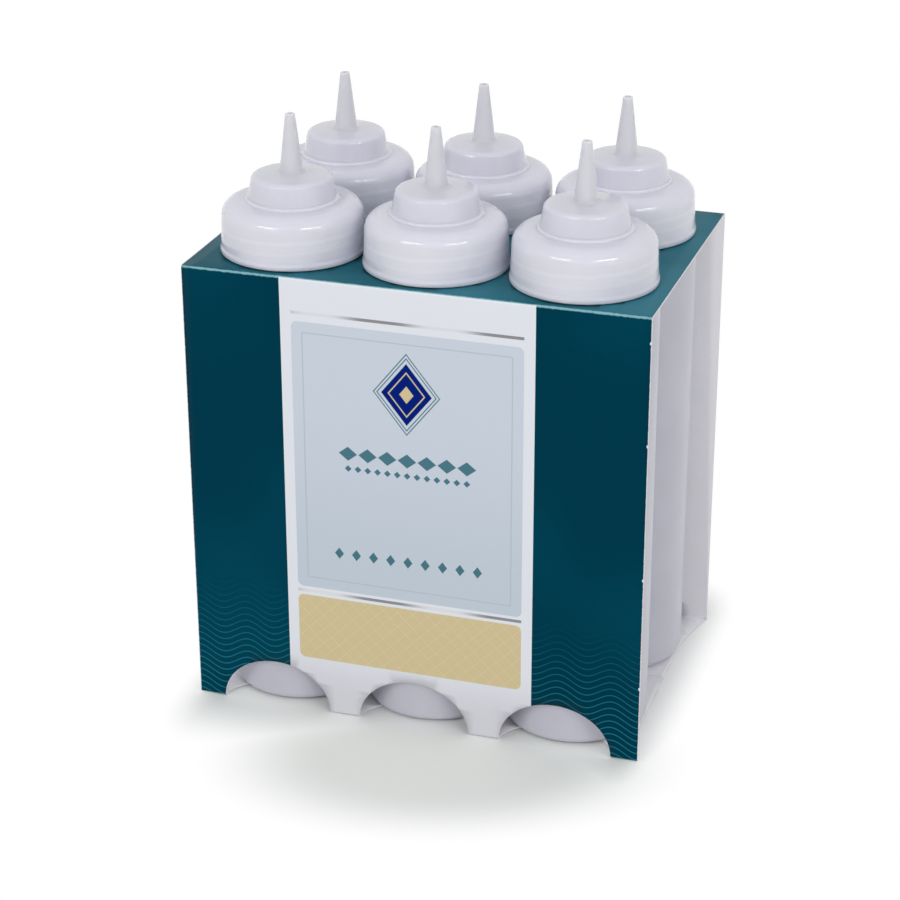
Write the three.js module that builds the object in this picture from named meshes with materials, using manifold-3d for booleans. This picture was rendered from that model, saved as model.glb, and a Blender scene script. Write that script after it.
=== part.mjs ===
// Six squeeze bottles with stepped screw caps, held in rows by one folded card sleeve
// Millimetres, +Z up, origin at the middle of the sleeve's base

import * as THREE from 'three';
import { mergeVertices } from 'three/addons/utils/BufferGeometryUtils.js';
import Module from 'manifold-3d';

const wasm = await Module();
wasm.setup();

// Row and column names, front row first
const column_names = ['left', 'middle', 'right'];
const row_names = ['front', 'rear'];

// Pack layout
const bottle_diameter = 69.4;
const column_gap = 0.6;
const row_gap = 3.6;
const side_overhang = 6;
const panel_clearance = 2.7;

// Card sleeve
const sleeve_height = 223;
const card_thickness = 0.6;
const card_gap = 0.3;
const heel_arch_width = 55;
const heel_arch_height = 23.4;
const heel_notch_depth = 20;
const flap_side_inset = 7;
const flap_flare_length = 40;
const seam_half_width = 6;
const seam_ramp_length = 1.5;
const seam_ramp_gap = 0.5;
const hole_clearance = 0.6;

// Bottle shell
const bottle_wall = 1.1;
const bottle_heel_radius = 9;
const bottle_shoulder_radius = 2.5;
const base_push_up = 1.6;
const base_ring_width = 3;
const base_slope_width = 3;
const base_wall = 1.4;
const neck_wall = 1.4;

// Screw thread
const thread_pitch = 5;
const thread_turns = 1.25;
const thread_depth = 1.6;
const thread_clearance = 0.7;
const thread_root_width = 2.2;
const thread_crest_width = 1;
const thread_bite = 0.5;
const neck_thread_start = 6;

// Foil seal over the mouth
const foil_thickness = 0.3;
const foil_inset = 0.4;
const seal_gap = 0.3;

// Stepped cap, heights from the cap's lower edge
const cap_ring_inset = 0.7;
const cap_ring_height = 3.2;
const cap_ring_slope = 0.8;
const cap_skirt_inset = 1.7;
const cap_skirt_height = 22;
const cap_skirt_rounding = 2.6;
const cap_shoulder_rise = 1.2;
const cap_wall = 1.5;
const cap_ceiling_wall = 1.9;
const drum_base_diameter = 40.4;
const drum_top_diameter = 37;
const drum_fillet = 0.9;
const drum_height = 35.4;
const drum_rounding = 2;
const drum_top_rise = 0.7;
const cone_base_diameter = 10.4;
const cone_fillet = 1.4;
const cone_wall = 1.2;
const cap_height = 64.5;
const tip_diameter = 4.4;
const tip_bore_diameter = 2.2;

// Steps of round pieces and arcs
const round_segments = 20;
const arc_steps = 2;
const arch_steps = 14;
const flare_steps = 4;
const cut_overrun = 2;

// Values that follow from the sizes above
const column_pitch = bottle_diameter + column_gap;
const row_pitch = bottle_diameter + row_gap;
const sleeve_width = (column_names.length - 1) * column_pitch + bottle_diameter + 2 * side_overhang;
const sleeve_depth = (row_names.length - 1) * row_pitch + bottle_diameter
  + 2 * (panel_clearance + card_thickness);
const bottle_radius = bottle_diameter / 2;
const bottle_base_z = card_thickness + card_gap;
const bottle_shoulder_z = sleeve_height - card_thickness - card_gap;
const cap_base_z = sleeve_height + card_gap;
const cap_ring_radius = bottle_radius - cap_ring_inset;
const cap_skirt_radius = bottle_radius - cap_skirt_inset;
const cap_inner_radius = cap_skirt_radius - cap_wall;
const neck_crest_radius = cap_inner_radius - thread_clearance;
const neck_radius = neck_crest_radius - thread_depth;
const cap_crest_radius = cap_inner_radius - thread_depth;
const cap_ceiling = cap_skirt_height - cap_ceiling_wall;
const neck_reach = cap_ceiling - 2 * seal_gap - foil_thickness;
const neck_top_z = cap_base_z + neck_reach;
const hole_radius = neck_crest_radius + hole_clearance;
const foil_z = neck_top_z + seal_gap;

// Colours as seen in the light of the photograph
const card_ink = new THREE.MeshStandardMaterial({ color: 0x04414d, roughness: 0.45, metalness: 0 });
const card_front = new THREE.MeshStandardMaterial({ color: 0xdedee6, roughness: 0.5, metalness: 0 });
const card_inside = new THREE.MeshStandardMaterial({ color: 0xc9c6cc, roughness: 0.8, metalness: 0 });
const shell_white = new THREE.MeshStandardMaterial({ color: 0xd2d0dc, roughness: 0.4, metalness: 0 });
const cap_white = new THREE.MeshStandardMaterial({ color: 0xe0dfe8, roughness: 0.35, metalness: 0 });
const foil_silver = new THREE.MeshStandardMaterial({ color: 0xb9bbbf, roughness: 0.3, metalness: 0.9 });

const pack = new THREE.Group();

// A closed geometry as a solid that can be joined and cut
function solid(geometry) {
  const bare = geometry.index ? geometry.clone() : geometry;
  bare.deleteAttribute('normal');
  bare.deleteAttribute('uv');
  const merged = mergeVertices(bare);
  return new wasm.Manifold(new wasm.Mesh({
    numProp: 3,
    vertProperties: new Float32Array(merged.attributes.position.array),
    triVerts: new Uint32Array(merged.index.array),
  }));
}

// A solid back as a geometry
function shell(body) {
  const mesh = body.getMesh();
  const geometry = new THREE.BufferGeometry();
  geometry.setAttribute('position', new THREE.BufferAttribute(mesh.vertProperties, 3));
  geometry.setIndex(new THREE.BufferAttribute(mesh.triVerts, 1));
  geometry.computeVertexNormals();
  return geometry;
}

function add(name, geometry, material, x, y, z) {
  const mesh = new THREE.Mesh(geometry, material);
  mesh.name = name;
  mesh.position.set(x, y, z);
  pack.add(mesh);
}

// Points of a quarter arc from one heading to the next, without its first point
function arc(centre_r, centre_z, radius, from_angle, to_angle) {
  const points = [];
  for (let step = 1; step <= arc_steps; step += 1) {
    const angle = from_angle + (to_angle - from_angle) * step / arc_steps;
    points.push([centre_r + radius * Math.cos(angle), centre_z + radius * Math.sin(angle)]);
  }
  return points;
}

// A turned body from its profile of radius and height pairs
function turned(profile) {
  const points = profile.map(([r, z]) => new THREE.Vector2(r, z));
  return new THREE.LatheGeometry(points, round_segments).rotateX(Math.PI / 2);
}

// A right-handed thread ridge that fades into its wall at both ends
function threadRidge(wall_radius, crest_radius, start_z) {
  const outward = Math.sign(crest_radius - wall_radius);
  const root_radius = wall_radius - outward * thread_bite;
  const steps = Math.round(thread_turns * round_segments);
  const sections = [];
  const index = [];
  for (let step = 0; step <= steps; step += 1) {
    const angle = 2 * Math.PI * step / round_segments;
    const middle = start_z + thread_pitch * step / round_segments;
    const at_end = step === 0 || step === steps;
    const top_radius = at_end ? root_radius + outward * thread_bite / 2 : crest_radius;
    const outline = [
      [root_radius, -thread_root_width / 2],
      [top_radius, -thread_crest_width / 2],
      [top_radius, thread_crest_width / 2],
      [root_radius, thread_root_width / 2],
    ];
    sections.push(outline.map(([r, rise]) => [r * Math.cos(angle), r * Math.sin(angle), middle + rise]));
  }
  const corners = sections[0].length;
  for (let step = 0; step < steps; step += 1) {
    for (let corner = 0; corner < corners; corner += 1) {
      const next = (corner + 1) % corners;
      const a = step * corners + corner;
      const b = step * corners + next;
      index.push(a, a + corners, b, b, a + corners, b + corners);
    }
  }
  const last = steps * corners;
  index.push(0, 1, 2, 0, 2, 3);
  index.push(last, last + 2, last + 1, last, last + 3, last + 2);
  if (outward < 0) index.reverse();
  const geometry = new THREE.BufferGeometry();
  geometry.setAttribute('position', new THREE.Float32BufferAttribute(sections.flat(2), 3));
  geometry.setIndex(index);
  return geometry;
}

// Bottle shell, with its base at zero height
function bottleGeometry() {
  const shoulder = bottle_shoulder_z - bottle_base_z;
  const lip = neck_top_z - bottle_base_z;
  const heel = bottle_heel_radius;
  const round = bottle_shoulder_radius;
  const inner_radius = bottle_radius - bottle_wall;
  const flat_radius = bottle_radius - heel;
  const push_radius = flat_radius - base_ring_width - base_slope_width;
  const inner_heel = heel - bottle_wall;
  const inner_round = round + bottle_wall;
  const bore_radius = neck_radius - neck_wall;
  const profile = [
    [0, base_push_up],
    [push_radius, base_push_up],
    [flat_radius - base_ring_width, 0],
    [flat_radius, 0],
    ...arc(flat_radius, heel, heel, -Math.PI / 2, 0),
    [bottle_radius, shoulder - round],
    ...arc(bottle_radius - round, shoulder - round, round, 0, Math.PI / 2),
    [neck_radius, shoulder],
    [neck_radius, lip],
    [bore_radius, lip],
    [bore_radius, shoulder - bottle_wall],
    [inner_radius, shoulder - bottle_wall - inner_round],
    [inner_radius, heel],
    ...arc(flat_radius, heel, inner_heel, 0, -Math.PI / 2),
    [push_radius, base_push_up + base_wall],
    [0, base_push_up + base_wall],
  ];
  const body = solid(turned(profile));
  const start = cap_base_z - bottle_base_z + neck_thread_start;
  const ridge = solid(threadRidge(neck_radius, neck_crest_radius, start));
  return shell(body.add(ridge));
}

// Stepped cap with an open cone, with its lower edge at zero height
function capGeometry() {
  const ring = cap_ring_radius;
  const skirt = cap_skirt_radius;
  const round = cap_skirt_rounding;
  const drum_base = drum_base_diameter / 2;
  const drum_top = drum_top_diameter / 2;
  const shoulder_top = cap_skirt_height + cap_shoulder_rise;
  const cone_base = cone_base_diameter / 2;
  const cone_start = drum_height + drum_top_rise;
  const tip = tip_diameter / 2;
  const bore = tip_bore_diameter / 2;
  const ceiling_inner = shoulder_top - cap_wall;
  const drum_ceiling = drum_height - cap_wall;
  const profile = [
    [cap_inner_radius, 0],
    [ring, 0],
    [ring, cap_ring_height],
    [skirt, cap_ring_height + cap_ring_slope],
    [skirt, cap_skirt_height - round],
    ...arc(skirt - round, cap_skirt_height - round, round, 0, Math.PI / 2),
    [drum_base + drum_fillet, shoulder_top],
    [drum_base, shoulder_top + drum_fillet],
    [drum_top, drum_height - drum_rounding],
    ...arc(drum_top - drum_rounding, drum_height - drum_rounding, drum_rounding, 0, Math.PI / 2),
    [cone_base + cone_fillet, cone_start],
    [cone_base, cone_start + cone_fillet],
    [tip, cap_height],
    [bore, cap_height],
    [cone_base - cone_wall, cone_start + cone_fillet],
    [cone_base - cone_wall, drum_ceiling],
    [drum_top - drum_rounding - cap_wall, drum_ceiling],
    [drum_top - cap_wall, drum_ceiling - drum_rounding],
    [drum_base - cap_wall, ceiling_inner],
    [skirt - round - cap_wall, cap_ceiling],
    [cap_inner_radius, cap_ceiling],
    [cap_inner_radius, 0],
  ];
  const body = solid(turned(profile));
  const start = neck_thread_start - thread_pitch / 2;
  const ridge = solid(threadRidge(cap_inner_radius, cap_crest_radius, start));
  return shell(body.add(ridge));
}

// Foil disc sealed over the mouth
function foilGeometry() {
  const radius = neck_radius - foil_inset;
  return turned([[0, 0], [radius, 0], [radius, foil_thickness], [0, foil_thickness]]);
}

// Card outline with a heel cut-out under each bottle column along one straight edge,
// and its sides as points of inset and distance from that edge
function notchedOutline(notch_height, side) {
  const half = sleeve_width / 2;
  const outline = new THREE.Shape();
  outline.moveTo(-half, 0);
  column_names.forEach((name, column) => {
    const middle = columnX(column);
    outline.lineTo(middle - heel_arch_width / 2, 0);
    for (let step = 1; step <= arch_steps; step += 1) {
      const angle = Math.PI * (1 - step / arch_steps);
      const x = middle + heel_arch_width / 2 * Math.cos(angle);
      outline.lineTo(x, notch_height * Math.sin(angle));
    }
  });
  outline.lineTo(half, 0);
  side.forEach(([inset, distance]) => outline.lineTo(half - inset, distance));
  [...side].reverse().forEach(([inset, distance]) => outline.lineTo(inset - half, distance));
  return outline;
}

// Bottom flap from its fold to its end past the seam, drawn in at the sides
function flapOutline() {
  const side = [];
  for (let step = 1; step <= flare_steps; step += 1) {
    const left_share = 1 - step / flare_steps;
    side.push([flap_side_inset * (1 - left_share ** 2), flap_flare_length * step / flare_steps]);
  }
  side.push([flap_side_inset, sleeve_depth / 2 + seam_half_width]);
  return notchedOutline(heel_notch_depth, side);
}

function columnX(column) {
  return (column - (column_names.length - 1) / 2) * column_pitch;
}

function rowY(row) {
  return (row - (row_names.length - 1) / 2) * row_pitch;
}

// Flat card from its outline
function card(outline, depth = card_thickness) {
  return new THREE.ExtrudeGeometry(outline, { depth, bevelEnabled: false });
}

// Upright panel between the bottom fold and the top fold, its outer face at zero depth
function uprightGeometry() {
  const height = sleeve_height - card_thickness - card_gap - bottle_base_z;
  return card(notchedOutline(heel_arch_height - bottle_base_z, [[0, height]])).rotateX(Math.PI / 2);
}

// Top panel with one neck hole for each bottle
function topGeometry() {
  const outline = new THREE.Shape();
  outline.moveTo(-sleeve_width / 2, -sleeve_depth / 2);
  outline.lineTo(sleeve_width / 2, -sleeve_depth / 2);
  outline.lineTo(sleeve_width / 2, sleeve_depth / 2);
  outline.lineTo(-sleeve_width / 2, sleeve_depth / 2);
  row_names.forEach((row_name, row) => {
    column_names.forEach((column_name, column) => {
      const hole = new THREE.Path();
      for (let step = 0; step < round_segments; step += 1) {
        const angle = -2 * Math.PI * step / round_segments;
        const x = columnX(column) + hole_radius * Math.cos(angle);
        const y = rowY(row) + hole_radius * Math.sin(angle);
        if (step === 0) hole.moveTo(x, y);
        else hole.lineTo(x, y);
      }
      outline.holes.push(hole);
    });
  });
  return card(outline);
}

// Front bottom flap, which steps up over the rear one at the glued seam
function frontFlapGeometry() {
  const lip_z = card_thickness + card_gap;
  const ramp_end = -seam_half_width - seam_ramp_gap;
  const ramp_start = ramp_end - seam_ramp_length;
  const front = -sleeve_depth / 2;
  const section_front = front - cut_overrun;
  const section_end = seam_half_width + cut_overrun;
  const section = new THREE.Shape();
  section.moveTo(section_front, 0);
  section.lineTo(ramp_start, 0);
  section.lineTo(ramp_end, lip_z);
  section.lineTo(section_end, lip_z);
  section.lineTo(section_end, lip_z + card_thickness);
  section.lineTo(ramp_end, lip_z + card_thickness);
  section.lineTo(ramp_start, card_thickness);
  section.lineTo(section_front, card_thickness);
  const strip = card(section, sleeve_width + 2 * cut_overrun);
  strip.rotateX(Math.PI / 2).rotateZ(Math.PI / 2).translate(-sleeve_width / 2 - cut_overrun, 0, 0);
  const blank = card(flapOutline(), lip_z + card_thickness + 2 * cut_overrun);
  blank.translate(0, front, -cut_overrun);
  return shell(solid(strip).intersect(solid(blank)));
}

// Rear bottom flap, flat from the rear fold to the seam
function rearFlapGeometry() {
  return card(flapOutline()).rotateZ(Math.PI);
}

const upright = uprightGeometry();
add('sleeve_front_panel', upright, card_front, 0, -sleeve_depth / 2 + card_thickness, bottle_base_z);
add('sleeve_rear_panel', upright, card_inside, 0, sleeve_depth / 2, bottle_base_z);
add('sleeve_top_panel', topGeometry(), card_ink, 0, 0, sleeve_height - card_thickness);
add('sleeve_bottom_front_flap', frontFlapGeometry(), card_inside, 0, 0, 0);
add('sleeve_bottom_rear_flap', rearFlapGeometry(), card_inside, 0, sleeve_depth / 2, 0);

const bottle = bottleGeometry();
const cap = capGeometry();
const foil = foilGeometry();
row_names.forEach((row_name, row) => {
  column_names.forEach((column_name, column) => {
    const place = `${row_name}_${column_name}`;
    add(`bottle_${place}`, bottle, shell_white, columnX(column), rowY(row), bottle_base_z);
    add(`foil_seal_${place}`, foil, foil_silver, columnX(column), rowY(row), foil_z);
    add(`cone_cap_${place}`, cap, cap_white, columnX(column), rowY(row), cap_base_z);
  });
});

export default pack;
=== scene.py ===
import math

import bmesh
import bpy
from mathutils import Matrix, Vector


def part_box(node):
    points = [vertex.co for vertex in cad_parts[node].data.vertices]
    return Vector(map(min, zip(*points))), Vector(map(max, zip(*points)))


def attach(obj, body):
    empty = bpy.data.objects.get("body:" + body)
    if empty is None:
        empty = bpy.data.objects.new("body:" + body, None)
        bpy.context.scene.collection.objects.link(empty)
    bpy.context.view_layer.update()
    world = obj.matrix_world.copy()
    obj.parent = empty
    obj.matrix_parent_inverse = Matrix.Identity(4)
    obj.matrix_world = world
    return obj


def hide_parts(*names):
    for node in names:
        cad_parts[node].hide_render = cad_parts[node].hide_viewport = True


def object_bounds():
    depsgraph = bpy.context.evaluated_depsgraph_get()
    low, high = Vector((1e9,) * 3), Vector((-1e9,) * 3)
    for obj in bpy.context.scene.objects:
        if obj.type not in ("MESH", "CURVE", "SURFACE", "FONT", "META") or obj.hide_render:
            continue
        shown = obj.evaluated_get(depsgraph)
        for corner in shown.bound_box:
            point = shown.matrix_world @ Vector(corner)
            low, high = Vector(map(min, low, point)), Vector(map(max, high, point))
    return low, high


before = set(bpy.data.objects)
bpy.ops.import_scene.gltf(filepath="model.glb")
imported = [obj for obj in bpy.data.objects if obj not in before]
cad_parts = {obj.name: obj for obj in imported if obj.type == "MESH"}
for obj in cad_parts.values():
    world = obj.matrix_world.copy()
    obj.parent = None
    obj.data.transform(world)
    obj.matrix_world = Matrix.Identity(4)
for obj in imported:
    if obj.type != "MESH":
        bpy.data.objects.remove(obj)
cad_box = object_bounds()

MM = 0.001
FULL_TURN = 2 * math.pi
PLACES = [
    f"{row}_{column}" for row in ("front", "rear") for column in ("left", "middle", "right")
]
PANELS = (
    "sleeve_front_panel",
    "sleeve_rear_panel",
    "sleeve_top_panel",
    "sleeve_bottom_front_flap",
    "sleeve_bottom_rear_flap",
)

# Sizes read from the frame
sleeve_low, sleeve_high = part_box("sleeve_top_panel")
flap_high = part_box("sleeve_bottom_front_flap")[1]
cap_low, cap_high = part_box("cone_cap_front_left")
bottle_low, bottle_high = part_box("bottle_front_left")
WIDTH = sleeve_high.x - sleeve_low.x
DEPTH = sleeve_high.y - sleeve_low.y
HEIGHT = sleeve_high.z
CARD = sleeve_high.z - sleeve_low.z
CAP_BASE = cap_low.z
CAP_HEIGHT = cap_high.z - cap_low.z
BOTTLE_BASE = bottle_low.z
BOTTLE_TOP = bottle_high.z - bottle_low.z
BOTTLE_RADIUS = (bottle_high.x - bottle_low.x) / 2


def centre(node):
    """The middle of a CAD node, as seen from above."""
    low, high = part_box(node)
    return (low.x + high.x) / 2, (low.y + high.y) / 2


def add_object(name, data):
    """Puts a new object into the scene."""
    obj = bpy.data.objects.new(name, data)
    bpy.context.scene.collection.objects.link(obj)
    return obj


def mesh_from(bm, name):
    """Turns bm into a mesh and frees it."""
    mesh = bpy.data.meshes.new(name)
    bm.to_mesh(mesh)
    bm.free()
    return mesh


# Card sleeve, wrapped from one flat blank

FOLD_RADIUS = 1.6 * MM
FOLD_STEPS = 6
SEAM_END = flap_high.y
SEAM_LIFT = flap_high.z - CARD
RAMP_START = -6.5 * MM
RAMP_END = -8.0 * MM
NECK_HOLE = 31.4 * MM
HOLE_STEPS = 72
HEEL_HALF = 27.5 * MM
HEEL_UP = 23.4 * MM
HEEL_BACK = 20.0 * MM
HEEL_STEPS = 56
FLAP_INSET = 7.0 * MM
FLAP_FLARE = 40.0 * MM
FLARE_STEPS = 12
GRID = 9.0 * MM
CUT_SNAP = 1e-7
PANEL_SAG = 0.22 * MM
SAG_EASE = 12 * MM
SAG_WAVES = ((23, 11), (17, -19))  # radians a metre, across and along the card


def advanced(kind, y, z, heading, along):
    """Place and heading after some way along a line, or round a fold to the outside."""
    if kind == "line":
        return y + along * math.cos(heading), z + along * math.sin(heading), heading
    centre_y = y + FOLD_RADIUS * math.sin(heading)
    centre_z = z - FOLD_RADIUS * math.cos(heading)
    heading -= along / FOLD_RADIUS
    y = centre_y - FOLD_RADIUS * math.sin(heading)
    z = centre_z + FOLD_RADIUS * math.cos(heading)
    return y, z, heading


class Wrap:
    """The card's outer face as a path of lines and folds, from the front seam to the rear one."""

    def __init__(self):
        self.pieces = []
        self.marks = {}
        self.length = 0.0
        self.y = SEAM_END
        self.z = SEAM_LIFT
        self.heading = math.pi

    def extend(self, kind, length):
        self.pieces.append((kind, self.length, self.y, self.z, self.heading))
        self.y, self.z, self.heading = advanced(kind, self.y, self.z, self.heading, length)
        self.length += length

    def line(self, length):
        self.extend("line", length)

    def fold(self, name):
        """A quarter turn, marked at its middle."""
        arc = FOLD_RADIUS * math.pi / 2
        self.marks[name] = self.length + arc / 2
        self.extend("fold", arc)

    def at(self, s):
        """Place and outward normal at a distance along the path."""
        kind, start, *pose = self.pieces[0]
        for piece in self.pieces:
            if s >= piece[1]:
                kind, start, *pose = piece
        y, z, heading = advanced(kind, *pose, s - start)
        return (y, z), (-math.sin(heading), math.cos(heading))


def sleeve_wrap():
    """The path of this sleeve, whose front flap climbs a ramp onto the rear one."""
    wrap = Wrap()
    ramp = RAMP_START - RAMP_END
    wrap.line(SEAM_END - RAMP_START)
    wrap.heading = math.pi + math.atan2(SEAM_LIFT, ramp)
    wrap.line(math.hypot(SEAM_LIFT, ramp))
    wrap.heading = math.pi
    wrap.line(DEPTH / 2 - FOLD_RADIUS + RAMP_END)
    wrap.fold("front_foot")
    wrap.line(HEIGHT - 2 * FOLD_RADIUS)
    wrap.fold("front_top")
    wrap.line(DEPTH - 2 * FOLD_RADIUS)
    wrap.fold("rear_top")
    wrap.line(HEIGHT - 2 * FOLD_RADIUS)
    wrap.fold("rear_foot")
    wrap.line(DEPTH / 2 - FOLD_RADIUS + SEAM_END)
    return wrap


def oval(x, s, half_width, reach_up, reach_back, steps):
    """A loop of two half ellipses that meet on a line across the card."""
    loop = []
    for step in range(steps):
        angle = FULL_TURN * step / steps
        reach = reach_up if math.sin(angle) > 0 else reach_back
        loop.append((x + half_width * math.cos(angle), s + reach * math.sin(angle)))
    return loop


def blank_outlines(wrap):
    """The flat blank's edge, neck holes and heel cut-outs, as x and distance along the path."""
    columns = sorted({round(centre(f"bottle_{place}")[0], 6) for place in PLACES})
    rows = sorted({round(centre(f"bottle_{place}")[1], 6) for place in PLACES})
    front_foot, rear_foot = wrap.marks["front_foot"], wrap.marks["rear_foot"]
    top_middle = (wrap.marks["front_top"] + wrap.marks["rear_top"]) / 2
    spare = FOLD_RADIUS * (1 - math.pi / 4)  # what half a round fold saves against a sharp one
    half = WIDTH / 2
    side = [(half - FLAP_INSET, 0.0)]
    for step in range(FLARE_STEPS, -1, -1):
        share = step / FLARE_STEPS
        inset = FLAP_INSET * (1 - (1 - share) ** 2)
        side.append((half - inset, front_foot + spare - FLAP_FLARE * share))
    side += [(x, front_foot + rear_foot - s) for x, s in reversed(side[1:])]
    side.append((half - FLAP_INSET, wrap.length))
    loops = [side + [(-x, s) for x, s in reversed(side)]]
    for x in columns:
        for y in rows:
            loops.append(oval(x, top_middle + y, NECK_HOLE, NECK_HOLE, NECK_HOLE, HOLE_STEPS))
        for foot, inward in ((front_foot, 1), (rear_foot, -1)):
            reaches = (inward * (HEEL_UP - spare), inward * (HEEL_BACK - spare))
            loops.append(oval(x, foot, HEEL_HALF, *reaches, HEEL_STEPS))
    return loops


def grid_lines(low, high):
    """Even steps between two edges, each about a grid square long."""
    count = max(1, round((high - low) / GRID))
    return [low + (high - low) * k / count for k in range(1, count)]


def cut_planes(wrap):
    """A place and a normal for each cut of the blank, with closer cuts across its folds."""
    reach = FOLD_RADIUS * math.pi / 4
    across = []
    for mark in wrap.marks.values():
        across += [mark + reach * (2 * k / FOLD_STEPS - 1) for k in range(FOLD_STEPS + 1)]
    edges = [0.0] + [piece[1] for piece in wrap.pieces[1:]] + [wrap.length]
    for low, high in zip(edges, edges[1:]):
        across += grid_lines(low, high) if high - low > 2 * GRID else [low]
    planes = [((x, 0, 0), (1, 0, 0)) for x in grid_lines(-WIDTH / 2, WIDTH / 2)]
    return planes + [((0, s, 0), (0, 1, 0)) for s in across]


def blank_mesh(wrap):
    """The flat blank as a grid of faces."""
    bm = bmesh.new()
    for outline in blank_outlines(wrap):
        vertices = [bm.verts.new((x, s, 0)) for x, s in outline]
        for first, second in zip(vertices, vertices[1:] + vertices[:1]):
            bm.edges.new((first, second))
    bmesh.ops.triangle_fill(bm, edges=bm.edges[:], use_beauty=True)
    for place, normal in cut_planes(wrap):
        geometry = bm.verts[:] + bm.edges[:] + bm.faces[:]
        bmesh.ops.bisect_plane(
            bm, geom=geometry, dist=CUT_SNAP, plane_co=place, plane_no=normal
        )
    return bm


def panel_sag(x, s, from_fold):
    """How far the card lies inside its flat place, which is nothing at a fold."""
    first, second = (across * x + along * s for across, along in SAG_WAVES)
    wave = math.sin(first) * math.cos(second)
    return PANEL_SAG * min(1.0, from_fold / SAG_EASE) * (1 + wave) / 2


def make_sleeve(wrap, materials):
    """Folds the blank round the bottles, gives it the card's thickness and lays out its print."""
    bm = blank_mesh(wrap)
    uv = bm.loops.layers.uv.new("print")
    for face in bm.faces:
        face.smooth = True
        for loop in face.loops:
            loop[uv].uv = (loop.vert.co.x, loop.vert.co.y - wrap.marks["front_foot"])
    for vertex in bm.verts:
        x, s, _ = vertex.co
        (y, z), (normal_y, normal_z) = wrap.at(s)
        sag = panel_sag(x, s, min(abs(s - mark) for mark in wrap.marks.values()))
        vertex.co = (x, y - normal_y * sag, z - normal_z * sag)
    bm.normal_update()
    front = [face for face in bm.faces if face.calc_center_median().y < 0]
    if sum(face.normal.y * face.calc_area() for face in front) > 0:
        bmesh.ops.reverse_faces(bm, faces=bm.faces[:])
    sleeve = add_object("card_sleeve", mesh_from(bm, "card_sleeve"))
    for material in materials:
        sleeve.data.materials.append(material)
    thick = sleeve.modifiers.new("thickness", "SOLIDIFY")
    thick.thickness = CARD
    thick.offset = -1
    thick.material_offset = 2
    thick.material_offset_rim = 1
    apply_modifiers(sleeve)
    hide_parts(*PANELS)
    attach(sleeve, "card_sleeve")


def apply_modifiers(obj):
    graph = bpy.context.evaluated_depsgraph_get()
    mesh = bpy.data.meshes.new_from_object(obj.evaluated_get(graph))
    obj.modifiers.clear()
    obj.data = mesh


# Turned pieces

TURN_STEPS = 128
FILLET_STEPS = 6
ON_AXIS = 1e-7


def filleted(corners):
    """Profile points with an arc at each corner that names a radius."""
    points = []
    last = len(corners) - 1
    for index, (r, z, radius) in enumerate(corners):
        corner = Vector((r, z))
        if radius == 0 or index in (0, last):
            points.append(corner)
            continue
        before = Vector(corners[index - 1][:2]) - corner
        after = Vector(corners[index + 1][:2]) - corner
        half_angle = before.angle(after) / 2
        bisector = (before.normalized() + after.normalized()).normalized()
        middle = corner + bisector * radius / math.sin(half_angle)
        cut = radius / math.tan(half_angle)
        first = corner + before.normalized() * cut - middle
        second = corner + after.normalized() * cut - middle
        sweep = first.angle_signed(second)
        for step in range(FILLET_STEPS + 1):
            points.append(middle + Matrix.Rotation(-sweep * step / FILLET_STEPS, 2) @ first)
    return points


def turned(bm, points, closed):
    """Adds a body turned about Z to bm, from profile points of radius and height."""
    rings = []
    for r, z in points:
        if r < ON_AXIS:
            rings.append([bm.verts.new((0, 0, z))])
            continue
        angles = [FULL_TURN * step / TURN_STEPS for step in range(TURN_STEPS)]
        rings.append([bm.verts.new((r * math.cos(a), r * math.sin(a), z)) for a in angles])
    pairs = list(zip(rings, rings[1:]))
    if closed:
        pairs.append((rings[-1], rings[0]))
    for low, high in pairs:
        for step in range(TURN_STEPS):
            following = (step + 1) % TURN_STEPS
            if len(low) == 1:
                bm.faces.new((low[0], high[following], high[step]))
            elif len(high) == 1:
                bm.faces.new((low[step], low[following], high[0]))
            else:
                bm.faces.new((low[step], low[following], high[following], high[step]))


# Screw thread, shared by the necks and the caps
THREAD_PITCH = 5.0 * MM
THREAD_TURNS = 1.25
THREAD_START = 6.0 * MM
CAP_WALL_RADIUS = 31.5 * MM
CAP_CREST = 29.9 * MM
NECK_RADIUS = 29.2 * MM
NECK_CREST = 30.8 * MM
RIDGE_ROOT = 0.4 * MM
ROOT_HALF = 1.1 * MM
KNEE_SHARE = 0.85
KNEE_HALF = 0.744 * MM
CREST_HALF = 0.42 * MM
THREAD_FADE = TURN_STEPS // 8


def thread(bm, wall, crest, start):
    """Adds a right-handed ridge on a wall, fading into it at both ends."""
    outward = 1 if crest > wall else -1
    root = wall - outward * RIDGE_ROOT
    steps = round(THREAD_TURNS * TURN_STEPS)
    sections = []
    for step in range(steps + 1):
        share = min(1.0, min(step, steps - step) / THREAD_FADE)
        top = root + (crest - root) * math.sin(share * math.pi / 2)
        knee = root + (top - root) * KNEE_SHARE
        angle = FULL_TURN * step / TURN_STEPS
        middle = start + THREAD_PITCH * step / TURN_STEPS
        outline = (
            (root, -ROOT_HALF), (knee, -KNEE_HALF), (top, -CREST_HALF),
            (top, CREST_HALF), (knee, KNEE_HALF), (root, ROOT_HALF),
        )
        sections.append([
            bm.verts.new((r * math.cos(angle), r * math.sin(angle), middle + rise))
            for r, rise in outline
        ])
    for first, second in zip(sections, sections[1:]):
        for corner in range(len(first)):
            following = (corner + 1) % len(first)
            bm.faces.new((first[corner], second[corner], second[following], first[following]))
    bm.faces.new(sections[0])
    bm.faces.new(reversed(sections[-1]))


def finished_mesh(bm, name, material, sharp_degrees):
    """Smooth shading between edges that are sharper than an angle, and one material."""
    bmesh.ops.recalc_face_normals(bm, faces=bm.faces[:])
    for face in bm.faces:
        face.smooth = True
    for edge in bm.edges:
        edge.smooth = edge.calc_face_angle(0) < math.radians(sharp_degrees)
    mesh = mesh_from(bm, name)
    mesh.materials.append(material)
    return mesh


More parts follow.
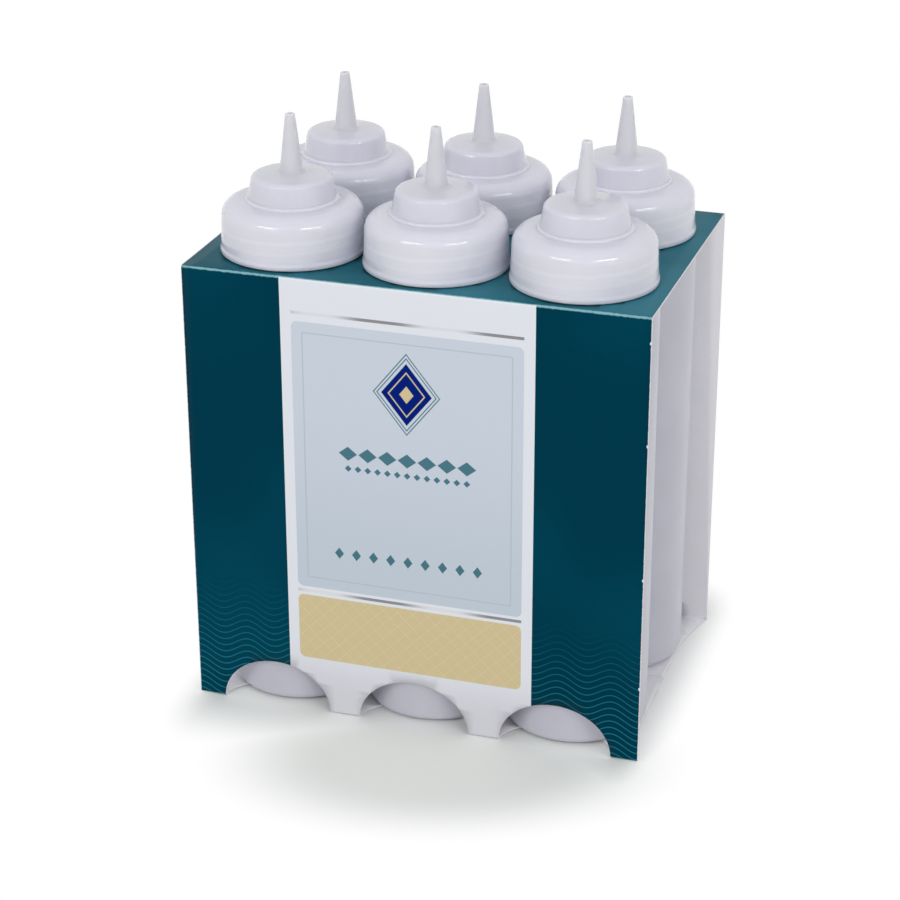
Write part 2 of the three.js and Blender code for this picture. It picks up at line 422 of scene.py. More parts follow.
SHELL_WALL = 1.1 * MM
NECK_WALL = 1.4 * MM
SHOULDER_GAP = 0.3 * MM
SHOULDER_DROP = 2.2 * MM
FOOT_WIDTH = 11.6 * MM
PUSH_UP_RADIUS = 19.5 * MM
PUSH_UP = 1.6 * MM
SHELL_FLOOR = 3 * MM
PARTING_DEPTH = 0.10 * MM
PARTING_HALF = 0.012
SIDE_ZONE = 0.2 * MM


def bottle_mesh(material):
    """Blow-moulded shell with a rounded heel, a push-up base, a tight shoulder and a screw neck."""
    shoulder = HEIGHT - CARD - SHOULDER_GAP - BOTTLE_BASE
    bore = NECK_RADIUS - NECK_WALL
    inner = BOTTLE_RADIUS - SHELL_WALL
    inner_shoulder = shoulder - SHELL_WALL
    corners = [  # radius, height and fillet, up the outside and down the inside
        (0, PUSH_UP, 0),
        (PUSH_UP_RADIUS, PUSH_UP, 2.5 * MM),
        (BOTTLE_RADIUS - FOOT_WIDTH, 0, 1.5 * MM),
        (BOTTLE_RADIUS, 0, 4.5 * MM),
        (BOTTLE_RADIUS, shoulder, 2.5 * MM),
        (NECK_RADIUS, shoulder, 0.5 * MM),
        (NECK_RADIUS, BOTTLE_TOP, 0.5 * MM),
        (bore, BOTTLE_TOP, 0.5 * MM),
        (bore, inner_shoulder, 0.6 * MM),
        (inner, inner_shoulder - SHOULDER_DROP, 1.2 * MM),
        (inner, 2.5 * MM, 3.6 * MM),
        (PUSH_UP_RADIUS, SHELL_FLOOR, 0),
        (0, SHELL_FLOOR, 0),
    ]
    bm = bmesh.new()
    turned(bm, filleted(corners), closed=False)
    for vertex in bm.verts:  # all but a fine parting line at each side is drawn in
        radius = math.hypot(vertex.co.x, vertex.co.y)
        if radius > BOTTLE_RADIUS - SIDE_ZONE:
            across = abs(vertex.co.y) / radius
            dent = PARTING_DEPTH * (1 - math.exp(-(across / PARTING_HALF) ** 2))
            vertex.co.x *= 1 - dent / radius
            vertex.co.y *= 1 - dent / radius
    thread(bm, NECK_RADIUS, NECK_CREST, CAP_BASE - BOTTLE_BASE + THREAD_START)
    return finished_mesh(bm, "bottle_shell", material, sharp_degrees=38)


def cap_mesh(material):
    """Stepped cap: ring, skirt, shoulder, drum and open cone."""
    rim = (CAP_WALL_RADIUS, 0.4 * MM, 0)
    corners = [  # radius, height and fillet, up the outside and down the inside
        rim,
        (CAP_WALL_RADIUS + 0.4 * MM, 0, 0),
        (34 * MM, 0, 0.6 * MM),
        (34 * MM, 1.9 * MM, 1.1 * MM),
        (33.5 * MM, 3.4 * MM, 2.0 * MM),
        (32.7 * MM, 23.6 * MM, 6.8 * MM),
        (22.0 * MM, 24.1 * MM, 0.5 * MM),
        (21.7 * MM, 25.3 * MM, 0.8 * MM),
        (20.5 * MM, 25.6 * MM, 0.5 * MM),
        (18.6 * MM, 35.8 * MM, 2.5 * MM),
        (5.5 * MM, 36.8 * MM, 1.8 * MM),
        (2.2 * MM, CAP_HEIGHT, 0.45 * MM),
        (1.1 * MM, CAP_HEIGHT, 0.2 * MM),
        (4.0 * MM, 37.5 * MM, 1.0 * MM),
        (4.4 * MM, 33.9 * MM, 0.6 * MM),
        (17 * MM, 33.7 * MM, 1.6 * MM),
        (18.9 * MM, 21.7 * MM, 0.8 * MM),
        (CAP_WALL_RADIUS, 20.1 * MM, 3.6 * MM),
        rim,
    ]
    bm = bmesh.new()
    turned(bm, filleted(corners)[:-1], closed=True)
    thread(bm, CAP_WALL_RADIUS, CAP_CREST, THREAD_START - THREAD_PITCH / 2)
    return finished_mesh(bm, "cone_cap", material, sharp_degrees=50)


def place_bottles(shell, cap, foil):
    """Puts a shell and a cap at each place, and finishes the foil that the frame carries."""
    for place in PLACES:
        x, y = centre(f"bottle_{place}")
        for mesh, name, z, body, slot in (
            (shell, f"bottle_{place}", BOTTLE_BASE, f"bottle_{place}_body", "bottle_shell"),
            (cap, f"cone_cap_{place}", CAP_BASE, f"cap_{place}_body", "cap_plastic"),
        ):
            piece = add_object(f"{name}_piece", mesh)
            piece.location = (x, y, z)
            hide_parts(name)
            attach(piece, body)
        for foil_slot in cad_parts[f"foil_seal_{place}"].material_slots:
            foil_slot.material = foil


# Materials

class Nodes:
    """A node tree, with short calls for the nodes it uses."""

    def __init__(self, tree):
        self.tree = tree
        tree.nodes.clear()

    def put(self, socket, value):
        if isinstance(value, bpy.types.NodeSocket):
            self.tree.links.new(value, socket)
        else:
            socket.default_value = value

    def add(self, kind, inputs, **settings):
        """Adds a node with its settings, then its inputs, each a value or a socket."""
        node = self.tree.nodes.new(f"ShaderNode{kind}")
        for name, value in settings.items():
            setattr(node, name, value)
        for key, value in inputs.items():
            self.put(node.inputs[key], value)
        return node

    def math(self, operation, first, second=0.0):
        return self.add("Math", {0: first, 1: second}, operation=operation).outputs[0]

    def plus(self, first, second):
        return self.math("ADD", first, second)

    def minus(self, first, second):
        return self.math("SUBTRACT", first, second)

    def ratio(self, first, second):
        return self.math("DIVIDE", first, second)

    def magnitude(self, value):
        return self.math("ABSOLUTE", value)

    def gap(self, first, second):
        """How far two values are apart."""
        return self.magnitude(self.minus(first, second))

    def product(self, *values):
        result = values[0]
        for value in values[1:]:
            result = self.math("MULTIPLY", result, value)
        return result

    def largest(self, *values):
        result = values[0]
        for value in values[1:]:
            result = self.math("MAXIMUM", result, value)
        return result

    def soft_step(self, value, low, high):
        """0 at low and 1 at high, whichever of them is the larger."""
        inputs = {"Value": value, "From Min": low, "From Max": high}
        return self.add("MapRange", inputs, interpolation_type="SMOOTHSTEP").outputs["Result"]

    def mix(self, factor, first, second):
        """A colour between two, each a socket or three numbers."""
        colours = [
            colour if isinstance(colour, bpy.types.NodeSocket) else (*colour, 1)
            for colour in (first, second)
        ]
        inputs = {"Factor": factor, "A": colours[0], "B": colours[1]}
        return self.add("Mix", inputs, data_type="RGBA").outputs["Result"]

    def coordinates(self, kind):
        return self.add("TexCoord", {}).outputs[kind]

    def split(self, vector):
        return self.add("SeparateXYZ", {0: vector}).outputs

    def join(self, x, y, z=0.0):
        return self.add("CombineXYZ", {0: x, 1: y, 2: z}).outputs[0]

    def noise(self, vector, scale, detail, roughness=0.5):
        inputs = {"Vector": vector, "Scale": scale, "Detail": detail, "Roughness": roughness}
        return self.add("TexNoise", inputs).outputs["Fac"]

    def bump(self, height, strength, distance, normal=None):
        """A normal from a height, on top of another normal where there is one."""
        inputs = {"Strength": strength, "Distance": distance, "Height": height}
        if normal is not None:
            inputs["Normal"] = normal
        return self.add("Bump", inputs).outputs[0]

    def seen(self):
        """1 for what the camera sees, straight or in a reflection."""
        path = self.add("LightPath", {})
        return self.largest(path.outputs["Is Camera Ray"], path.outputs["Is Glossy Ray"])


class Shade(Nodes):
    """A material with one Principled shader, and masks for its print."""

    def __init__(self, name):
        self.material = bpy.data.materials.new(name)
        self.material.use_nodes = True
        super().__init__(self.material.node_tree)
        self.shader = self.add("BsdfPrincipled", {})
        self.output = self.add("OutputMaterial", {"Surface": self.shader.outputs[0]})

    def set(self, **values):
        for name, value in values.items():
            self.put(self.shader.inputs[name.replace("_", " ")], value)

    def repeat(self, value, pitch):
        """Distance to the nearest line of a row of lines."""
        share = self.math("FRACT", self.plus(self.ratio(value, pitch), 0.5))
        return self.product(self.minus(share, 0.5), pitch)

    def line_mask(self, distance, half_width):
        """1 along a line, soft at its edges."""
        return self.soft_step(self.magnitude(distance), 1.25 * half_width, 0.55 * half_width)

    def lozenge_reach(self, x, y, size):
        """0 in the middle of a lozenge, 1 on its outline."""
        wide, tall = self.ratio(x, size[0]), self.ratio(y, size[1])
        return self.plus(self.magnitude(wide), self.magnitude(tall))

    def box_mask(self, x, y, low, high, corner=0.4 * MM, soft=0.12 * MM):
        """1 inside a rectangle with round corners, 0 outside it."""
        squares = []
        for value, least, most in ((x, low[0], high[0]), (y, low[1], high[1])):
            from_middle = self.gap(value, (least + most) / 2)
            past = self.largest(self.minus(from_middle, (most - least) / 2 - corner), 0.0)
            squares.append(self.product(past, past))
        distance = self.math("SQRT", self.plus(*squares))
        return self.soft_step(distance, corner + soft, corner - soft)

    def inset_mask(self, x, y, panel, inset=0.0):
        """A printed panel's shape, drawn in by a margin."""
        corner = max(0.8 * MM, PANEL_CORNER - inset / 2)
        low, high = [value + inset for value in panel[0]], [value - inset for value in panel[1]]
        return self.box_mask(x, y, low, high, corner)


# Colours, as linear light
TEAL = (0.0, 0.0366, 0.0637)
TEAL_LIGHT = (0.0, 0.050, 0.084)
WAVE_TEAL = (0.015, 0.16, 0.21)
# The top panel's teal is partly its own lighter print and partly painted sheen; its deep tone also
# gives the painted shade of the front left corner
TOP_PRINT_AND_SHEEN = (0.035, 0.182, 0.245)
TOP_DEEP = (0.004, 0.092, 0.128)
LINE_TEAL = (0.012, 0.125, 0.17)
# Colour of the rubbed folds: worn ink with a painted highlight on it
FOLD_WEAR_AND_HIGHLIGHT = (0.28, 0.52, 0.58)
NAVY = (0.0, 0.012, 0.17)
BOARD_WHITE = (0.71, 0.735, 0.785)
# The board's white, darkened at the foot and below it: painted shade
FOOT_SHADE_WHITE = (0.615, 0.61, 0.66)
PALE_BLUE = (0.55, 0.60, 0.68)
PALE_LOW_BLUE = (0.50, 0.56, 0.635)
MOTIF_BLUE = (0.40, 0.46, 0.54)
SAND = (0.60, 0.50, 0.29)
SAND_LINE = (0.68, 0.60, 0.41)
SILVER_DEEP = (0.17, 0.17, 0.19)
SILVER_BRIGHT = (0.66, 0.67, 0.70)
BOARD_CORE = (0.80, 0.81, 0.84)
BOARD_INSIDE = (0.83, 0.82, 0.86)
CORNER_WEAR = (0.24, 0.23, 0.24)
# The bottles are the caps' plastic painted darker: painted shade for the dim inside of the sleeve
SHELL = (0.55, 0.55, 0.62)
CAP = (0.73, 0.73, 0.825)
# The next two are the cap's plastic darkened for its drum and cone: painted shade
CAP_PAINTED_SHADE = (0.69, 0.69, 0.775)
CONE_PAINTED_SHADE = (0.67, 0.67, 0.73)
FOIL_DEEP = (0.62, 0.63, 0.65)
FOIL_BRIGHT = (0.74, 0.75, 0.77)
PLAIN_GLINT = (1.0, 1.0, 1.0)
INK_GLINT = (0.1, 0.8, 1.0)

# Places on the printed front, from its middle and its foot
BAND_LEFT = -62.8 * MM
BAND_RIGHT = 58.4 * MM
BAND_SOFT = 0.1 * MM
PALE_PANEL = ((-57.6 * MM, 67.0 * MM), (53.2 * MM, 201.8 * MM))
SAND_PANEL = ((-57.6 * MM, 28.5 * MM), (53.2 * MM, 62.5 * MM))
PANEL_CORNER = 3.0 * MM
FRAME_INSETS = (5.0 * MM, 5.6 * MM)
MIDDLE = (PALE_PANEL[0][0] + PALE_PANEL[1][0]) / 2
MOTIF_HEIGHT = 172.0 * MM
LOZENGE = (12.0 * MM, 15.0 * MM)
LOZENGE_RINGS = (1.18, 1.32)  # these shares are of the lozenge's own size
LOZENGE_EDGE = (1.03, 1.0)
LOZENGE_RIBBON = 0.72
LOZENGE_EYE = (0.30, 0.27)
RING_HALF = 0.03
RIBBON_HALF = 0.035
ROW_EDGE = (1.03, 0.93)
LOZENGE_ROWS = (  # height, pitch, half size and count
    (139.0 * MM, 9.6 * MM, (4.6 * MM, 3.6 * MM), 7),
    (131.5 * MM, 4.8 * MM, (1.7 * MM, 1.7 * MM), 13),
    (87.0 * MM, 8.5 * MM, (2.3 * MM, 3.0 * MM), 9),
)
TRELLIS = 7.5 * MM
TRELLIS_HALF = 0.22 * MM
WAVE_SPACING = 3.4 * MM
WAVE_LENGTH = 26.0 * MM
WAVE_SWING = 2.6 * MM
WAVE_LINE = 0.30 * MM
WAVE_TOP = 74.0 * MM
SILVER_HEIGHTS = (64.8 * MM, 206.0 * MM)
SILVER_HALF = 0.75 * MM
SILVER_LENGTH = 60.0 * MM
NICK_HEIGHTS = (210.5 * MM, 161.5 * MM, 95.0 * MM, 38.8 * MM)
NICK_DEPTH = 0.75 * MM
NICK_HALF = 0.7 * MM
FRAME_INK = 0.7
FINE_INK = 0.9
TRELLIS_INK = 0.55
RULE_INK = 0.85
FOLD_SOFT = 0.2 * MM

# Heights on the card where a tone starts, and where it is full; at the foot and below it that tone
# is painted shade
PALE_FADE = (170 * MM, 70 * MM)
FOOT_SHADE_FADE = (40 * MM, 8 * MM)
BELOW_FOOT = (-0.6 * MM, -1.4 * MM)

# Distances from a fold, an edge or a corner where wear starts, and where it is full; along the
# folds the band also carries a painted highlight
TOP_FOLD_WEAR_AND_HIGHLIGHT = (0.20 * MM, -0.35 * MM)
FOOT_FOLD_WEAR_AND_HIGHLIGHT = (0.1 * MM, -0.5 * MM)
SCUFF_EDGE = (0.1 * MM, -0.15 * MM)
CORNER_REACH = (4.0 * MM, -1.0 * MM)

# Heights on a cap where the neck's thread fades in and out, and where the painted shade of drum and
# cone starts and is full
THREAD_SHOWS = ((-1.0 * MM, 10.0 * MM), (16.0 * MM, 14.0 * MM))
PAINTED_SHADE_HEIGHTS = ((CAP_PAINTED_SHADE, 24.2 * MM, 27.5 * MM), (CONE_PAINTED_SHADE, 36.0 * MM, 38.5 * MM))


def band_ink(shade, across, height):
    """Slightly uneven teal with waved lines that fade out upwards."""
    sine = shade.math("SINE", shade.product(across, FULL_TURN / WAVE_LENGTH))
    swung = shade.plus(height, shade.product(sine, WAVE_SWING))
    lines = shade.line_mask(shade.repeat(swung, WAVE_SPACING), WAVE_LINE)
    fade = shade.soft_step(height, WAVE_TOP, 0.1 * WAVE_TOP)
    cloud = shade.noise(shade.join(across, height), scale=10, detail=1.0, roughness=0.4)
    ground = shade.mix(shade.soft_step(cloud, 0.40, 0.70), TEAL, TEAL_LIGHT)
    return shade.mix(shade.product(lines, fade), ground, WAVE_TEAL)


def pale_ink(shade, across, height):
    """Pale ground with a thin frame, a large lozenge in outlines and rows of small lozenges."""
    x = shade.minus(across, MIDDLE)
    reach = shade.lozenge_reach(x, shade.minus(height, MOTIF_HEIGHT), LOZENGE)
    fine = [shade.line_mask(shade.minus(reach, share), RING_HALF) for share in LOZENGE_RINGS]
    for middle, pitch, size, count in LOZENGE_ROWS:
        y = shade.minus(height, middle)
        row = shade.soft_step(shade.lozenge_reach(shade.repeat(x, pitch), y, size), *ROW_EDGE)
        span = (count * pitch / 2, 2 * size[1])
        window = shade.box_mask(x, y, (-span[0], -span[1]), span)
        fine.append(shade.product(row, window))
    core = shade.soft_step(reach, *LOZENGE_EDGE)
    ribbon = shade.line_mask(shade.minus(reach, LOZENGE_RIBBON), RIBBON_HALF)
    eye = shade.soft_step(reach, *LOZENGE_EYE)
    outer, inner = (shade.inset_mask(across, height, PALE_PANEL, inset) for inset in FRAME_INSETS)

    ink = shade.mix(shade.soft_step(height, *PALE_FADE), PALE_BLUE, PALE_LOW_BLUE)
    ink = shade.mix(shade.product(shade.minus(outer, inner), FRAME_INK), ink, MOTIF_BLUE)
    ink = shade.mix(shade.product(shade.largest(*fine), FINE_INK), ink, LINE_TEAL)
    ink = shade.mix(core, ink, NAVY)
    return shade.mix(shade.largest(ribbon, eye), ink, SAND)


def sand_ink(shade, across, height):
    """Sand ground with a thin trellis."""
    slants = [
        shade.line_mask(shade.repeat(slant, TRELLIS), TRELLIS_HALF)
        for slant in (shade.plus(across, height), shade.minus(across, height))
    ]
    return shade.mix(shade.product(shade.largest(*slants), TRELLIS_INK), SAND, SAND_LINE)


def silver_ink(shade, across):
    """Silver that goes from dark to bright and back along a rule."""
    shine = shade.math("SINE", shade.product(across, FULL_TURN / SILVER_LENGTH))
    return shade.mix(shade.soft_step(shine, -0.8, 0.9), SILVER_DEEP, SILVER_BRIGHT)


def printed_front(shade, across, height):
    """Ink on the front and on the back, with painted shade on the white board near its foot, and a
    mask of its dark bands.
    """
    rules = []
    for rule in SILVER_HEIGHTS:
        low = (PALE_PANEL[0][0], rule - SILVER_HALF)
        high = (PALE_PANEL[1][0], rule + SILVER_HALF)
        rules.append(shade.box_mask(across, height, low, high))
    band = shade.largest(
        shade.soft_step(across, BAND_LEFT + BAND_SOFT, BAND_LEFT - BAND_SOFT),
        shade.soft_step(across, BAND_RIGHT - BAND_SOFT, BAND_RIGHT + BAND_SOFT),
    )
    # painted shade: the white board darkens towards the foot
    board = shade.mix(shade.soft_step(height, *FOOT_SHADE_FADE), BOARD_WHITE, FOOT_SHADE_WHITE)
    for mask, ink in (
        (shade.inset_mask(across, height, PALE_PANEL), pale_ink(shade, across, height)),
        (shade.inset_mask(across, height, SAND_PANEL), sand_ink(shade, across, height)),
        (shade.product(shade.largest(*rules), RULE_INK), silver_ink(shade, across)),
        (band, band_ink(shade, across, height)),
    ):
        board = shade.mix(mask, board, ink)
    return board, band


def top_ink_and_sheen(shade, x, past_fold, flat):
    """Clouded teal of the top panel, lightened partly by painted sheen, and darkest in its front
    left corner, which is painted shade.
    """
    cloud = shade.soft_step(shade.noise(flat, scale=13, detail=2.0), 0.30, 0.62)
    corner = shade.soft_step(shade.plus(x, shade.product(past_fold, 0.9)), -0.095, -0.045)
    return shade.mix(shade.product(cloud, corner), TOP_DEEP, TOP_PRINT_AND_SHEEN)


def worn_and_highlit_folds(shade, height, fold, wander):
    """1 where the print is rubbed off along the top folds, and less along the foot; the same lines
    also carry a painted highlight.
    """
    top = shade.soft_step(shade.minus(shade.gap(height, fold), wander), *TOP_FOLD_WEAR_AND_HIGHLIGHT)
    foot = shade.soft_step(shade.minus(shade.magnitude(height), wander), *FOOT_FOLD_WEAR_AND_HIGHLIGHT)
    return shade.product(shade.largest(top, shade.product(foot, 0.45)), 0.8)


def bare_edges(shade, across, height, from_side, flat):
    """1 in the scuffs and nicks of the cut edges."""
    side = WIDTH / 2
    scuff = shade.product(shade.noise(flat, scale=700, detail=3.0, roughness=0.7), 0.5 * MM)
    bare = [shade.soft_step(shade.minus(from_side, scuff), *SCUFF_EDGE)]
    for nick in NICK_HEIGHTS:
        low, high = (side - NICK_DEPTH, nick - NICK_HALF), (side + 1 * MM, nick + NICK_HALF)
        bare.append(shade.box_mask(across, height, low, high, corner=0.3 * MM))
    return shade.largest(*bare)


def dark_corners(shade, from_side, from_fold, wander):
    """Strength of the wear in the two rear corners of the top panel."""
    off_corner = shade.minus(shade.plus(from_side, from_fold), shade.product(wander, 3.0))
    return shade.product(shade.soft_step(off_corner, *CORNER_REACH), 0.8)


def printed_card(wrap):
    """Varnished print on white board, worn along its folds and nicked along its cut edges; painted
    highlights lie along the folds, painted shade at the foot and painted sheen on the top.
    """
    shade = Shade("printed_card")
    x, along, _ = shade.split(shade.coordinates("UV"))
    flat = shade.join(x, along)
    foot = wrap.marks["front_foot"]
    full, fold, rear_fold = (
        wrap.marks[name] - foot for name in ("rear_foot", "front_top", "rear_top")
    )
    on_rear = shade.math("GREATER_THAN", along, full / 2)
    across = shade.product(x, shade.minus(1.0, shade.product(on_rear, 2.0)))
    height = shade.minus(full / 2, shade.gap(along, full / 2))
    from_side = shade.minus(WIDTH / 2, shade.magnitude(x))
    wander = shade.product(shade.noise(flat, scale=420, detail=4.0, roughness=0.65), 1.3 * MM)

    front, band = printed_front(shade, across, height)
    on_top = shade.soft_step(height, fold - FOLD_SOFT, fold + FOLD_SOFT)
    inked = shade.largest(band, on_top)
    # the folds show worn ink and a painted highlight
    fold_wear_and_highlight_colour = shade.mix(inked, BOARD_CORE, FOLD_WEAR_AND_HIGHLIGHT)
    colour = shade.mix(on_top, front, top_ink_and_sheen(shade, x, shade.minus(along, fold), flat))
    for mask, layer in (
        # below the foot the card gets the same painted shade
        (shade.soft_step(height, *BELOW_FOOT), FOOT_SHADE_WHITE),
        (worn_and_highlit_folds(shade, height, fold, wander), fold_wear_and_highlight_colour),
        (bare_edges(shade, across, height, from_side, flat), BOARD_CORE),
        (dark_corners(shade, from_side, shade.gap(along, rear_fold), wander), CORNER_WEAR),
    ):
        colour = shade.mix(mask, colour, layer)

    fibre = shade.noise(flat, scale=1600, detail=4.0, roughness=0.6)
    warp = shade.noise(flat, scale=14, detail=2.0, roughness=0.4)
    warped = shade.bump(warp, strength=0.25, distance=0.8 * MM)
    shade.set(
        Base_Color=colour,
        Roughness=shade.plus(shade.product(fibre, 0.10), 0.28),
        IOR=1.4,
        Specular_IOR_Level=0.05,
        Specular_Tint=shade.mix(inked, PLAIN_GLINT, INK_GLINT),
        Normal=shade.bump(fibre, strength=0.10, distance=0.05 * MM, normal=warped),
    )
    return shade.material


def plain_card(name, colour, bump):
    """Unprinted board with its fibres, for the inside and the cut edges."""
    shade = Shade(name)
    place = shade.coordinates("Object")
    fibre = shade.noise(place, scale=1100, detail=5.0, roughness=0.65)
    cloud = shade.noise(place, scale=55, detail=3.0)
    tone = shade.plus(shade.product(fibre, 0.6), shade.product(cloud, 0.4))
    deep = tuple(0.94 * value for value in colour)
    shade.set(
        Base_Color=shade.mix(shade.soft_step(tone, 0.3, 0.7), deep, colour),
        Roughness=0.78,
        Normal=shade.bump(fibre, strength=bump, distance=0.08 * MM),
    )
    return shade.material


def milky_plastic(shade, deep, colour, tone, normal, roughness, scatter, path):
    """Translucent polyethylene with a fine grain, in tones between a deep and a full colour."""
    grain = shade.noise(shade.coordinates("Object"), scale=950, detail=3.0, roughness=0.6)
    shade.set(
        Base_Color=shade.mix(tone, deep, colour),
        Roughness=shade.plus(shade.product(grain, 0.04), roughness),
        Subsurface_Weight=scatter,
        Subsurface_Radius=(1.0, 1.0, 1.1),
        Subsurface_Scale=path,
        IOR=1.5,
        Normal=shade.bump(grain, strength=0.06, distance=0.03 * MM, normal=normal),
    )
    return shade.material


def mottle(shade, strength):
    """Moulding unevenness: a tone from 0 to 1, and the normal of its shallow bumps."""
    cloud = shade.noise(shade.coordinates("Object"), scale=38, detail=2.0, roughness=0.45)
    return shade.soft_step(cloud, 0.25, 0.75), shade.bump(cloud, strength, 0.5 * MM)


def deeper(colour):
    """The darker tone of a moulded wall."""
    return tuple(0.95 * value for value in colour)


def bottle_plastic():
    """The shells' plastic, satin and plainly mottled, its colour darkened as painted shade."""
    shade = Shade("bottle_plastic")
    tone, normal = mottle(shade, 0.12)
    return milky_plastic(
        shade, deeper(SHELL), SHELL, tone, normal, roughness=0.30, scatter=0.8, path=2.0 * MM
    )


def cap_plastic():
    """The caps' plastic: the neck's thread shows faintly through; drum and cone carry painted
    shade, standing in for their thinner walls letting light through.
    """
    shade = Shade("cap_plastic")
    tone, normal = mottle(shade, 0.03)
    x, y, z = shade.split(shade.coordinates("Object"))
    turn = shade.ratio(shade.math("ARCTAN2", y, x), FULL_TURN)
    climb = shade.minus(shade.ratio(z, THREAD_PITCH), turn)
    phase = shade.math("FRACT", shade.minus(climb, 0.2))
    band = shade.soft_step(shade.gap(phase, 0.5), 0.30, 0.10)
    ridges = shade.product(band, *(shade.soft_step(z, *heights) for heights in THREAD_SHOWS))
    tone = shade.largest(shade.product(tone, 0.4), ridges)
    normal = shade.bump(ridges, strength=0.5, distance=0.14 * MM, normal=normal)
    colour, deep = CAP, deeper(CAP)
    # drum and cone blend into darker colours: painted shade
    for wall, low, high in PAINTED_SHADE_HEIGHTS:
        share = shade.soft_step(z, low, high)
        colour = shade.mix(share, colour, wall)
        deep = shade.mix(share, deep, deeper(wall))
    return milky_plastic(
        shade, deep, colour, tone, normal, roughness=0.08, scatter=1.0, path=3.0 * MM
    )


def sealing_foil():
    """Thin foil with its rolling lines and small creases."""
    shade = Shade("sealing_foil")
    place = shade.coordinates("Object")
    x, y, z = shade.split(place)
    lines = shade.noise(shade.join(shade.product(x, 40.0), y, z), scale=60, detail=3.0)
    crease = shade.noise(place, scale=160, detail=3.0, roughness=0.6)
    shade.set(
        Base_Color=shade.mix(lines, FOIL_DEEP, FOIL_BRIGHT),
        Metallic=1.0,
        Roughness=shade.plus(shade.product(lines, 0.12), 0.26),
        Normal=shade.bump(crease, strength=0.35, distance=0.2 * MM),
    )
    return shade.material


# Studio

CAMERA_PLACE = (0.3378, -1.0628, 0.6117)
CAMERA_AZIMUTH = 17.90
CAMERA_ELEVATION = 24.06
CAMERA_ROLL = -0.10
CAMERA_LENS = 100
CAMERA_SENSOR = 36
CAMERA_REACH = 50
SOFTBOX_AIM = (0, 0, 0.25)
SOFTBOX_SIZE = (2.0, 0.55)
SOFTBOX_POWER = 27.5
WORLD_LEVEL = 0.65
FLOOR_HALF = 6.0
FLOOR_GAP = 0.2 * MM
FLOOR_COLOUR = (0.90, 0.91, 0.90)
# The floor as the camera sees it, darker than the light finds it: painted shade by the pack and in
# the shadow pool in front
SEEN_SHADE_COLOUR = (0.85, 0.87, 0.855)
SHADE_REACH = 0.05
SHADE_HALF = 0.9 * WIDTH / 2
SIDE_WEIGHT = 4.0  # the shade ends sooner at the sides than at the front
# A painted pool of shadow in front of the pack: its middle, half sizes and soft edge
SHADOW_POOL_PLACE = (0.023, -0.099, 0.0)
SHADOW_POOL_HALF = (0.115, 0.071, 1.0)
SHADOW_POOL_EDGE = (0.45, 1.05)


def make_camera():
    """The camera, from its place and three angles."""
    azimuth, elevation, roll = (
        math.radians(angle) for angle in (CAMERA_AZIMUTH, CAMERA_ELEVATION, CAMERA_ROLL)
    )
    level = math.cos(elevation)
    back = Vector((math.sin(azimuth) * level, -math.cos(azimuth) * level, math.sin(elevation)))
    right = Vector((math.cos(azimuth), math.sin(azimuth), 0))
    up = back.cross(right)
    rolled_right = math.cos(roll) * right + math.sin(roll) * up
    rolled_up = math.cos(roll) * up - math.sin(roll) * right
    axes = Matrix((rolled_right, rolled_up, back)).transposed()
    data = bpy.data.cameras.new("camera")
    data.lens = CAMERA_LENS
    data.sensor_width = CAMERA_SENSOR
    data.clip_end = CAMERA_REACH
    camera = add_object("camera", data)
    camera.matrix_world = Matrix.Translation(CAMERA_PLACE) @ axes.to_4x4()
    bpy.context.scene.camera = camera


def softbox(name, place):
    """A long lamp, aimed at the caps."""
    data = bpy.data.lights.new(name, "AREA")
    data.shape = "RECTANGLE"
    data.size, data.size_y = SOFTBOX_SIZE
    data.energy = SOFTBOX_POWER
    lamp = add_object(name, data)
    lamp.location = place
    ahead = Vector(SOFTBOX_AIM) - Vector(place)
    lamp.rotation_euler = ahead.to_track_quat("-Z", "Y").to_euler()


def make_world():
    """Even white light, seen and reflected as full white."""
    world = bpy.data.worlds.new("studio")
    bpy.context.scene.world = world
    world.use_nodes = True
    nodes = Nodes(world.node_tree)
    plain, bright = (
        nodes.add("Background", {"Color": (1, 1, 1, 1), "Strength": strength}).outputs[0]
        for strength in (WORLD_LEVEL, 1.0)
    )
    choice = nodes.add("MixShader", {0: nodes.seen(), 1: plain, 2: bright})
    nodes.add("OutputWorld", {"Surface": choice.outputs[0]})


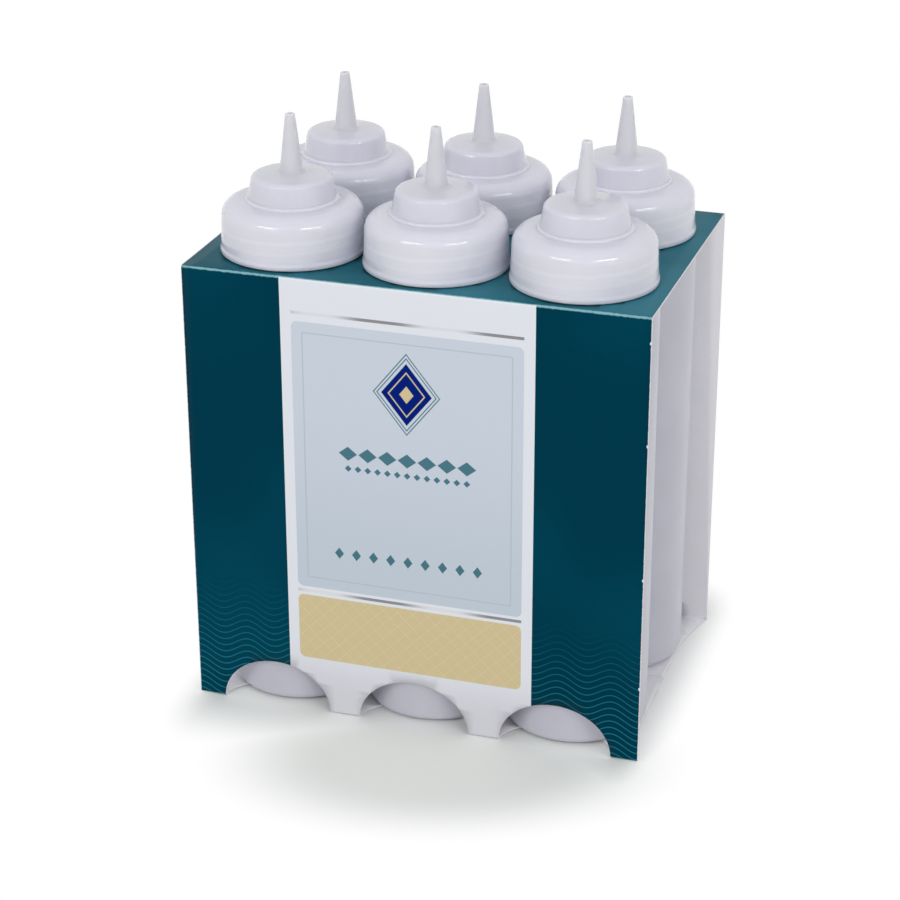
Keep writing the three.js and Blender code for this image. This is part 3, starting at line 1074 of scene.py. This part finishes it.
def floor_fade(shade):
    """0 by the pack and in the painted shadow pool in front of it, 1 where the floor is white."""
    place = shade.coordinates("Object")
    x, y, _ = shade.split(place)
    out_x = shade.largest(shade.minus(shade.magnitude(x), SHADE_HALF), 0.0)
    out_y = shade.largest(shade.minus(shade.magnitude(y), DEPTH / 2), 0.0)
    squares = shade.plus(shade.product(out_x, out_x, SIDE_WEIGHT), shade.product(out_y, out_y))
    turn = (0.0, 0.0, math.radians(CAMERA_AZIMUTH))
    pool_inputs = {"Vector": place, "Location": SHADOW_POOL_PLACE, "Rotation": turn, "Scale": SHADOW_POOL_HALF}
    pool = shade.add("Mapping", pool_inputs, vector_type="TEXTURE")
    reach = shade.add("VectorMath", {0: pool.outputs["Vector"]}, operation="LENGTH")
    by_pack = shade.soft_step(shade.math("SQRT", squares), 0.0, SHADE_REACH)
    return shade.math("MINIMUM", by_pack, shade.soft_step(reach.outputs["Value"], *SHADOW_POOL_EDGE))


def make_floor():
    """Pale floor that keeps the shadow close to the pack and runs out to white; by the pack and in
    a pool in front, the colour the camera sees is darker, painted shade.
    """
    bm = bmesh.new()
    signs = ((-1, -1), (1, -1), (1, 1), (-1, 1))
    bm.faces.new([bm.verts.new((x * FLOOR_HALF, y * FLOOR_HALF, 0)) for x, y in signs])
    floor = add_object("floor", mesh_from(bm, "floor"))
    floor.location.z = cad_box[0].z - FLOOR_GAP
    shade = Shade("floor")
    path = shade.add("LightPath", {})
    shade.set(
        # painted shade: the camera sees a darker floor than the light finds
        Base_Color=shade.mix(path.outputs["Is Camera Ray"], FLOOR_COLOUR, SEEN_SHADE_COLOUR),
        Roughness=0.8,
        Specular_IOR_Level=0.1,
    )
    glow = shade.add("Emission", {"Strength": 1.0})
    share = shade.product(floor_fade(shade), shade.seen())
    blend = shade.add("MixShader", {0: share, 1: shade.shader.outputs[0], 2: glow.outputs[0]})
    shade.put(shade.output.inputs["Surface"], blend.outputs[0])
    floor.data.materials.append(shade.material)


make_camera()
make_world()
make_floor()
softbox("left_softbox", (-1.252, -2.878, 1.847))
softbox("right_softbox", (2.435, -1.980, 1.847))
bpy.context.scene.view_settings.view_transform = "Standard"

card_path = sleeve_wrap()
make_sleeve(card_path, [
    printed_card(card_path),
    plain_card("cut_edge", BOARD_CORE, 0.3),
    plain_card("inside_card", BOARD_INSIDE, 0.2),
])
place_bottles(
    bottle_mesh(bottle_plastic()),
    cap_mesh(cap_plastic()),
    sealing_foil(),
)
